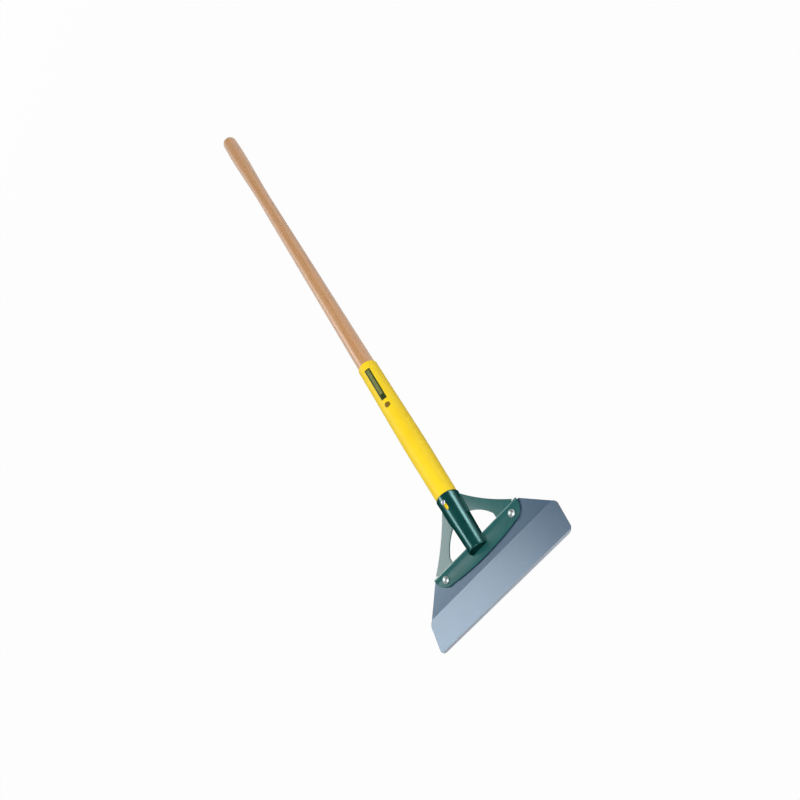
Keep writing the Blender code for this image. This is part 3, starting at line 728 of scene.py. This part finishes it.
def raise_crease(piece):
    """Presses a low crease forward along the fold."""
    bpy.ops.object.mode_set(mode="EDIT")
    cut_rows(stations([CREASE_FROM, CREASE_TOP, CREASE_TO], [6, 6]), LENGTHWISE, ROW_SNAP)
    bpy.ops.object.mode_set(mode="OBJECT")
    for vertex in piece.data.vertices:
        end = CREASE_FROM if vertex.co.y > CREASE_TOP else CREASE_TO
        vertex.co.z += CREASE_HEIGHT * eased((end - vertex.co.y) / (end - CREASE_TOP))


def press(piece, at, angle, radius, count):
    """Bends the sheet below y = at by angle, over an arc of the given radius, in count small turns."""
    length = radius * abs(angle)
    rows = [at + length / 2 - length * (i + 0.5) / count for i in range(count)]
    bpy.ops.object.mode_set(mode="EDIT")
    cut_rows(rows, LENGTHWISE, ROW_SNAP)
    mesh = bmesh.from_edit_mesh(piece.data)
    flat = {vertex: vertex.co.y for vertex in mesh.verts}
    for row in rows:
        hinges = [vertex.co for vertex, y in flat.items() if abs(y - row) < ON_ROW]
        centre = sum(hinges, Vector()) / len(hinges)
        centre.x = 0.0
        below = [vertex for vertex, y in flat.items() if y < row - ON_ROW]
        turn = Matrix.Translation(centre) @ Matrix.Rotation(angle / count, 4, "X")
        bmesh.ops.transform(mesh, matrix=turn @ Matrix.Translation(-centre), verts=below)
    bmesh.update_edit_mesh(piece.data)
    bpy.ops.object.mode_set(mode="OBJECT")


def even_shading(piece):
    """Shades the sheet's flats as flat and its bends and rounded edges as smooth."""
    smooth(piece, degrees=50)
    modified(piece, "WEIGHTED_NORMAL", keep_sharp=True)


def build_bracket_paint(name, dark, light, coat, coat_roughness, ridge_wear_and_highlight=0.0):
    """Green paint. A ridge amount over 0 paints a pale line on the crease: rubbed paint and a painted
    highlight.
    """
    values = {"Specular IOR Level": 0.1, "Coat Weight": coat, "Coat Roughness": coat_roughness}
    finish, tree, shader, place = new_finish(name, values)
    cloudy = masked(tree, mottle, place, Scale=30.0)
    base = blend_colour(tree, cloudy, dark, light)
    marks = masked(tree, scratches, place, Scale=260.0, Amount=0.07)
    base = blend_colour(tree, marks, base, BRACKET_SCRATCH)
    # A pale line along the crease's ridge, standing in partly for rubbed paint and partly for a painted
    # highlight.
    if ridge_wear_and_highlight:
        along = node(tree, "ShaderNodeSeparateXYZ", {0: place}).outputs["Y"]
        off_ridge = math_node(tree, "ABSOLUTE", math_node(tree, "SUBTRACT", along, FOLD_Y + CREASE_TOP))
        ridge_wear_and_highlight_mask = span(tree, off_ridge, RIDGE_CORE, RIDGE_REACH, ridge_wear_and_highlight, 0.0)
        ridge_wear_and_highlight_mask = math_node(tree, "MULTIPLY", ridge_wear_and_highlight_mask, span(tree, cloudy, 0.0, 1.0, 0.6, 1.0))
        base = blend_colour(tree, ridge_wear_and_highlight_mask, base, BRACKET_RIDGE_WEAR_AND_HIGHLIGHT)
    tree.links.new(base, shader.inputs["Base Color"])
    tree.links.new(span(tree, cloudy, 0.0, 1.0, 0.44, 0.56), shader.inputs["Roughness"])
    relief(tree, shader, noise(tree, place, 380.0, 2.0), 0.000012)
    return finish


notch = (-TUBE_FOOT_AT + FIT + SHEET / 2 * math.sin(FOLD)) / math.cos(FOLD)
notch_foot = (tube_radius(TUBE_FOOT_AT) + FIT, -notch)
notch_top = (tube_radius(-WINDOW_SILL_DROP) + FIT, -WINDOW_SILL_DROP)
window_sill = (WINDOW_HALF_WIDTH, -WINDOW_SILL_DROP)
window_side = (WINDOW_HALF_WIDTH, WINDOW_SIDE_HEIGHT)
window_top = (tube_radius(WINDOW_TOP_AT) + FIT, WINDOW_TOP_AT)
window_corner = rounded(window_side, window_sill, window_top, WINDOW_CORNER_RADIUS, 8)
arm_top = (tube_radius(ARM_TOP_AT) + FIT, ARM_TOP_AT)
arm_root = (PLATE_HALF_WIDTH - ARM_ROOT_INSET, RELIEF_ABOVE_FOLD + RELIEF_RADIUS)
relief_centre = (PLATE_HALF_WIDTH - RELIEF_DEPTH, RELIEF_ABOVE_FOLD)
relief_foot = (relief_centre[0], RELIEF_ABOVE_FOLD - RELIEF_RADIUS)
top_corner = (PLATE_HALF_WIDTH, RELIEF_ABOVE_FOLD - RELIEF_RADIUS)
low_corner = (PLATE_HALF_WIDTH, -PLATE_END_HEIGHT)
low_end = (PLATE_HALF_WIDTH - PLATE_CORNER_RADIUS, -PLATE_END_HEIGHT)

half = [notch_foot, notch_top, window_sill] + window_corner
half += bowed(window_corner[-1], window_top, -WINDOW_EDGE_BULGE, 16)[1:]
half += bowed(arm_top, arm_root, -ARM_EDGE_HOLLOW, 24)
half += arc(relief_centre, RELIEF_RADIUS, 90, 270, 10)
half += rounded(top_corner, relief_foot, low_corner, PLATE_TOP_CORNER_RADIUS, 4)
half += rounded(low_corner, top_corner, low_end, PLATE_CORNER_RADIUS, 20)
for t in steps(1, 0, 16)[1:]:
    sag = (PLATE_MIDDLE_HEIGHT - PLATE_END_HEIGHT) * (1 - t * t)
    half.append((low_end[0] * t, -PLATE_END_HEIGHT - sag))
half = list(reversed(half))
bracket = flat_blank("bracket_sheet", half, SHEET)
round_edges(bracket, BRACKET_EDGE_ROUNDING)
raise_crease(bracket)
press(bracket, 0.0, FOLD, FOLD_RADIUS, count=4)
settle(bracket, (0, FOLD_Y, AXIS_HEIGHT - SHEET_BEHIND_AXIS))
even_shading(bracket)
bracket_paint = build_bracket_paint(
    "green_paint", BRACKET_DARK, BRACKET_LIGHT, coat=0.78, coat_roughness=0.12, ridge_wear_and_highlight=0.8
)
bracket.data.materials.append(bracket_paint)
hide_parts("bracket")
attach(bracket, "root")

# Weld beads: run by hand between the tube and the bracket, above each window and beside the tube's
# foot, and painted over. Each ripple is where the molten pool froze.
WELD_SIZE = 0.0040
WELD_SUNK = 0.0008
WELD_HOLLOW = 0.10
WELD_TAPER = (0.35, 0.62, 0.82, 0.94)
ARM_WELD = (0.0725, 0.0430)
FOOT_WELD = (-0.0020, -0.0150)
RIPPLE = 0.0018
RIPPLE_SWELL = (0.92, 0.985, 1.0, 0.965)
RIPPLE_LAG = 0.0006
BEAD_DARK = (0.004, 0.046, 0.040, 1)
BEAD_LIGHT = (0.008, 0.070, 0.062, 1)


def sheet_front(at):
    """Height of the bracket's front face at a place up the handle from the fold."""
    drop = math.tan(FOLD) * -at if at < 0 else 0.0
    return AXIS_HEIGHT - SHEET_BEHIND_AXIS + SHEET / 2 - drop


def weld(name, side, high, low, node_name, finish):
    """Draws a quarter-round bead down the corner between the tube and the sheet."""
    count = round((high - low) / RIPPLE) * len(RIPPLE_SWELL)
    mesh = bpy.data.meshes.new(name)
    shape = bmesh.new()
    rings = []
    for i in range(count + 1):
        at = high + (low - high) * i / count
        swell = RIPPLE_SWELL[i % len(RIPPLE_SWELL)]
        end = min(i, count - i)
        taper = WELD_TAPER[end] if end < len(WELD_TAPER) else 1.0
        reach = WELD_SIZE * swell * taper + WELD_SUNK
        corner_x = tube_radius(at) - WELD_SUNK
        corner_z = sheet_front(at) - WELD_SUNK
        ring = [shape.verts.new((side * corner_x, FOLD_Y + at, corner_z))]
        for angle in steps(0, math.pi / 2, 8):
            middle = math.sin(2 * angle)
            bulge = 1.0 - WELD_HOLLOW * middle
            x = corner_x + reach * bulge * math.cos(angle)
            z = corner_z + reach * bulge * math.sin(angle)
            ring.append(shape.verts.new((side * x, FOLD_Y + at - RIPPLE_LAG * middle, z)))
        rings.append(ring)
    for first, second in zip(rings, rings[1:]):
        for i in range(len(first)):
            j = (i + 1) % len(first)
            shape.faces.new((first[i], first[j], second[j], second[i]))
    shape.faces.new(rings[0])
    shape.faces.new(rings[-1])
    bmesh.ops.recalc_face_normals(shape, faces=shape.faces)
    shape.to_mesh(mesh)
    shape.free()
    bead = bpy.data.objects.new(name, mesh)
    bpy.context.scene.collection.objects.link(bead)
    smooth(bead, degrees=60)
    mesh.materials.append(finish)
    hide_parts(node_name)
    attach(bead, "root")


bead_paint = build_bracket_paint("bead_paint", BEAD_DARK, BEAD_LIGHT, coat=0.3, coat_roughness=0.25)
weld("arm_bead_left", -1, *ARM_WELD, "weld_arm_left", bead_paint)
weld("arm_bead_right", 1, *ARM_WELD, "weld_arm_right", bead_paint)
weld("foot_bead_left", -1, *FOOT_WELD, "weld_foot_left", bead_paint)
weld("foot_bead_right", 1, *FOOT_WELD, "weld_foot_right", bead_paint)

# Blade: a wide sheet of hardened blue-grey steel behind the plate, pressed forward below its middle into
# a flat strip, with its front ground to a thin straight edge. Its ends slope out at 45 degrees.
BLADE_THICKNESS = 0.0020
BLADE_HALF_WIDTH = 0.1500
BLADE_TOP_DROP = 0.0030
BLADE_TOP_HALF_WIDTH = 0.1026
BLADE_SHOULDER_DROP = BLADE_TOP_DROP + BLADE_HALF_WIDTH - BLADE_TOP_HALF_WIDTH
BLADE_SHOULDER_RADIUS = 0.012
BLADE_CORNER_RADIUS = 0.010
BLADE_BEND_DROP = 0.0452
BLADE_BEND_RADIUS = 0.012
BLADE_STRIP_HEIGHT = 0.0627
BLADE_BOTTOM = BLADE_BEND_DROP + BLADE_STRIP_HEIGHT
BLADE_DEPTH = (SHEET + BLADE_THICKNESS) / 2 + FIT
BLADE_EDGE_ROUNDING = 0.0002
STRIP = -math.radians(11.7)
GRIND_WIDTH = 0.0030
EDGE_THICKNESS = 0.0006
STEEL_DARK = (0.018, 0.044, 0.084, 1)
STEEL_LIGHT = (0.023, 0.050, 0.092, 1)
STEEL_LINE = (0.036, 0.064, 0.112, 1)
STEEL_SCRATCH = (0.25, 0.28, 0.32, 1)
STEEL_SHEEN = (0.55, 0.78, 0.96, 1)
GROUND_DARK = (0.38, 0.42, 0.48, 1)
GROUND_LIGHT = (0.45, 0.49, 0.55, 1)


def build_blade_steel():
    """Rolled steel with fine lines across the tool and a blue sheen, which fades in slanting views."""
    values = {
        "Metallic": 0.1, "IOR": 1.6, "Specular IOR Level": 1.0, "Specular Tint": STEEL_SHEEN,
        "Coat Weight": 0.4, "Coat Roughness": 0.2,
    }
    finish, tree, shader, place = new_finish("blue_grey_steel", values)
    lines = noise(tree, stretched(tree, place, 0.03, 1.0, 1.0), 900.0, 4.0)
    base = blend_colour(tree, masked(tree, mottle, place, Scale=16.0), STEEL_DARK, STEEL_LIGHT)
    base = blend_colour(tree, span(tree, lines, 0.3, 0.7, 0.0, 0.3), base, STEEL_LINE)
    marks = masked(tree, scratches, place, Scale=420.0, Amount=0.07)
    tree.links.new(blend_colour(tree, marks, base, STEEL_SCRATCH), shader.inputs["Base Color"])
    tree.links.new(span(tree, lines, 0.3, 0.7, 0.34, 0.38), shader.inputs["Roughness"])
    fade_aside(tree, shader, "Specular IOR Level", 0.38, 0.66, 0.1)
    fade_aside(tree, shader, "Coat Weight", 0.38, 0.66, 0.0)
    relief(tree, shader, lines, 0.000002)
    return finish


def build_ground_steel():
    """Freshly ground steel, with the wheel's fine lines running back from the edge."""
    finish, tree, shader, place = new_finish("ground_steel", {"Metallic": 0.5})
    lines = noise(tree, stretched(tree, place, 1.0, 0.06, 0.06), 1400.0, 3.0)
    base = blend_colour(tree, span(tree, lines, 0.3, 0.7), GROUND_DARK, GROUND_LIGHT)
    tree.links.new(base, shader.inputs["Base Color"])
    tree.links.new(span(tree, lines, 0.3, 0.7, 0.40, 0.45), shader.inputs["Roughness"])
    relief(tree, shader, lines, 0.000008)
    return finish


def grind_edge(piece):
    """Takes the front of the flat blank back to a thin edge over its last few millimetres."""
    bpy.ops.object.mode_set(mode="EDIT")
    cut_rows([GRIND_WIDTH - BLADE_BOTTOM], LENGTHWISE, ROW_SNAP)
    bpy.ops.object.mode_set(mode="OBJECT")
    ground = set()
    for vertex in piece.data.vertices:
        if vertex.co.y < GRIND_WIDTH - BLADE_BOTTOM + ON_ROW and vertex.co.z > 0:
            ground.add(vertex.index)
            share = max(1 - (vertex.co.y + BLADE_BOTTOM) / GRIND_WIDTH, 0.0)
            vertex.co.z -= (BLADE_THICKNESS - EDGE_THICKNESS) * share
    for face in piece.data.polygons:
        if all(index in ground for index in face.vertices):
            face.material_index = 1


notch = (-TUBE_FOOT_AT + FIT + (BLADE_DEPTH + BLADE_THICKNESS / 2) * math.sin(FOLD)) / math.cos(FOLD)
notch_foot = (tube_radius(TUBE_FOOT_AT) + FIT, -notch)
notch_top = (tube_radius(-BLADE_TOP_DROP) + FIT, -BLADE_TOP_DROP)
blade_top = (BLADE_TOP_HALF_WIDTH, -BLADE_TOP_DROP)
shoulder = (BLADE_HALF_WIDTH, -BLADE_SHOULDER_DROP)
low_corner = (BLADE_HALF_WIDTH, -BLADE_BOTTOM)
half = [notch_foot, notch_top, blade_top]
half += rounded(shoulder, blade_top, low_corner, BLADE_SHOULDER_RADIUS, 12)
half += rounded(low_corner, shoulder, (0, -BLADE_BOTTOM), BLADE_CORNER_RADIUS, 16)
blade = flat_blank("blade_sheet", half, BLADE_THICKNESS)
blade.data.materials.append(build_blade_steel())
blade.data.materials.append(build_ground_steel())
grind_edge(blade)
round_edges(blade, BLADE_EDGE_ROUNDING)
press(blade, -BLADE_BEND_DROP, STRIP - FOLD, BLADE_BEND_RADIUS, count=8)
settle(blade, (0, 0, -BLADE_DEPTH))
settle(blade, (0, FOLD_Y, AXIS_HEIGHT - SHEET_BEHIND_AXIS), (FOLD, 0, 0))
even_shading(blade)
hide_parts("blade")
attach(blade, "root")

# Rivets: bright steel, set cold through the plate and the blade. The head is a smooth dome on the front,
# the tail a flatter one at the back.
RIVET_HALF_SPACING = 0.0802
RIVET_DROP = 0.0146
RIVET_HEAD_RADIUS = 0.0065
RIVET_HEAD_HEIGHT = 0.0040
RIVET_RIM = RIVET_HEAD_HEIGHT / 6
RIVET_HEAD_INSET = 0.0003
RIVET_HEAD_ROUNDING = 0.0002
RIVET_SHANK_RADIUS = 0.0032
RIVET_TAIL_RADIUS = 0.0052
RIVET_TAIL_HEIGHT = 0.0026
RIVET_TAIL_SEAT = -(SHEET + BLADE_THICKNESS + 2 * FIT)
RIVET_DARK = (0.44, 0.50, 0.50, 1)
RIVET_LIGHT = (0.54, 0.60, 0.60, 1)

rivet_tail = dome(RIVET_TAIL_SEAT - RIVET_RIM, RIVET_TAIL_SEAT - RIVET_TAIL_HEIGHT, RIVET_TAIL_RADIUS, 6)
rivet_profile = list(reversed(rivet_tail[:-1]))
rivet_profile += [
    (RIVET_TAIL_SEAT, RIVET_TAIL_RADIUS),
    (RIVET_TAIL_SEAT, RIVET_SHANK_RADIUS),
    (FIT, RIVET_SHANK_RADIUS),
    (FIT, RIVET_HEAD_RADIUS - RIVET_HEAD_INSET),
    (FIT + RIVET_HEAD_ROUNDING, RIVET_HEAD_RADIUS),
]
rivet_profile += dome(FIT + RIVET_RIM, FIT + RIVET_HEAD_HEIGHT, RIVET_HEAD_RADIUS, 10)
bright_steel = build_plain_metal(
    "bright_steel", 420.0, RIVET_DARK, RIVET_LIGHT, roughness=(0.41, 0.47), grain=(900.0, 3.0, 0.000008)
)
rivet_y = -RIVET_DROP * math.cos(FOLD) - SHEET / 2 * math.sin(FOLD)
rivet_z = -RIVET_DROP * math.sin(FOLD) + SHEET / 2 * math.cos(FOLD) - SHEET_BEHIND_AXIS
for name, side in (("left", -1), ("right", 1)):
    rivet = drawn_out("rivet_head_" + name, rivet_profile, segments=64)
    settle(rivet, (side * RIVET_HALF_SPACING, FOLD_Y + rivet_y, AXIS_HEIGHT + rivet_z), (FOLD, 0, 0))
    smooth(rivet, degrees=40)
    rivet.data.materials.append(bright_steel)
    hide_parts("rivet_" + name)
    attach(rivet, "root")

# Floor and backdrop: a plain white studio floor that keeps a soft shadow of the tool, and a low white
# wall far round it.
FLOOR_SIZE = 30.0
WALL_RADIUS = 14.0
WALL_HEIGHT = 6.0
FLOOR_GREY = (0.36, 0.36, 0.36, 1)
FLOOR_GLOW = 0.975
BACKDROP_GLOW = 1.0
GLOW_FROM = 1.0
GLOW_TO = 3.5


def build_studio_white():
    """White that is lit in part by itself where it is seen, and wholly far from the tool."""
    values = {"Base Color": FLOOR_GREY, "Roughness": 0.9, "Specular IOR Level": 0.0}
    finish, tree, shader, place = new_finish("studio_white", values)
    rays = node(tree, "ShaderNodeLightPath")
    seen = math_node(tree, "ADD", rays.outputs["Is Camera Ray"], rays.outputs["Is Glossy Ray"])
    seen = math_node(tree, "ADD", seen, rays.outputs["Is Transmission Ray"], clamp=True)
    glow = node(tree, "ShaderNodeEmission", {"Color": (1, 1, 1, 1), "Strength": 1.0})
    away = node(tree, "ShaderNodeVectorMath", {0: place}, operation="LENGTH").outputs["Value"]
    glowing = span(tree, away, GLOW_FROM, GLOW_TO, FLOOR_GLOW, BACKDROP_GLOW)
    share = math_node(tree, "MULTIPLY", seen, glowing)
    mixed = node(tree, "ShaderNodeMixShader", {0: share, 1: shader.outputs[0], 2: glow.outputs[0]})
    tree.links.new(mixed.outputs[0], tree.nodes["Material Output"].inputs["Surface"])
    return finish


studio_white = build_studio_white()
bpy.ops.object.select_all(action="DESELECT")
bpy.ops.mesh.primitive_plane_add(size=FLOOR_SIZE)
floor = bpy.context.object
floor.name = "floor"
bpy.ops.mesh.primitive_cylinder_add(
    vertices=64, radius=WALL_RADIUS, depth=WALL_HEIGHT, end_fill_type="NOTHING",
    location=(0, 0, WALL_HEIGHT / 2),
)
backdrop = bpy.context.object
backdrop.name = "backdrop"
for surface in (floor, backdrop):
    surface.data.materials.append(studio_white)

# Light: a soft box behind the camera does most of the lighting. One at the left, beyond the handle, gives
# the sheets their sheen, and a low one at the right draws the long streak on the tube.
WORLD_GREY = 0.04
HEAD = Vector((0, FOLD_Y, AXIS_HEIGHT))


def soft_box(name, aim, towards, across, distance, width, height, radiance):
    """A rectangular lamp that faces aim from a distance along towards. Its width lies along across."""
    lamp = bpy.data.lights.new(name, "AREA")
    lamp.shape = "RECTANGLE"
    lamp.size = width
    lamp.size_y = height
    lamp.energy = radiance * math.pi * width * height
    holder = bpy.data.objects.new(name, lamp)
    bpy.context.scene.collection.objects.link(holder)
    towards = Vector(towards).normalized()
    up = towards.cross(Vector(across)).normalized()
    axes = Matrix((up.cross(towards), up, towards)).transposed().to_4x4()
    holder.matrix_world = Matrix.Translation(Vector(aim) + towards * distance) @ axes


world = bpy.data.worlds.new("studio")
bpy.context.scene.world = world
world.use_nodes = True
world_shade = world.node_tree.nodes["Background"]
world_shade.inputs["Color"].default_value = (1, 1, 1, 1)
world_shade.inputs["Strength"].default_value = WORLD_GREY
soft_box(
    "box_front", aim=(0, -0.1, 0), towards=(0.25, -0.60, 0.76), across=(1, 0, 0),
    distance=4.8, width=3.2, height=3.2, radiance=7.0,
)
soft_box(
    "box_left", aim=HEAD, towards=(-0.554, 0.546, 0.630), across=(0.829, 0.308, 0.463),
    distance=7.0, width=2.24, height=3.69, radiance=7.2,
)
soft_box(
    "box_right", aim=HEAD, towards=(0.88, 0.462, 0.165), across=(0, 0, 1),
    distance=2.4, width=0.90, height=0.57, radiance=7.8,
)

# Camera: stands over the blade's right end and looks down along the handle, as in the photograph.
CAMERA_FROM_HEAD = Vector((0.6347, -0.6451, 1.1377))
CAMERA_BACK = Vector((0.3839, -0.5884, 0.7116)).normalized()
CAMERA_TILT = Vector((0.7038, 0.6854, 0.1870)).normalized()
LENS = 41.54
SENSOR_WIDTH = 36.0

camera_data = bpy.data.cameras.new("camera")
camera_data.lens = LENS
camera_data.sensor_width = SENSOR_WIDTH
camera = bpy.data.objects.new("camera", camera_data)
bpy.context.scene.collection.objects.link(camera)
camera_right = CAMERA_TILT.cross(CAMERA_BACK).normalized()
camera_up = CAMERA_BACK.cross(camera_right)
turned = Matrix((camera_right, camera_up, CAMERA_BACK)).transposed().to_4x4()
camera.matrix_world = Matrix.Translation(HEAD + CAMERA_FROM_HEAD) @ turned
bpy.context.scene.camera = camera
bpy.context.scene.view_settings.view_transform = "Standard"
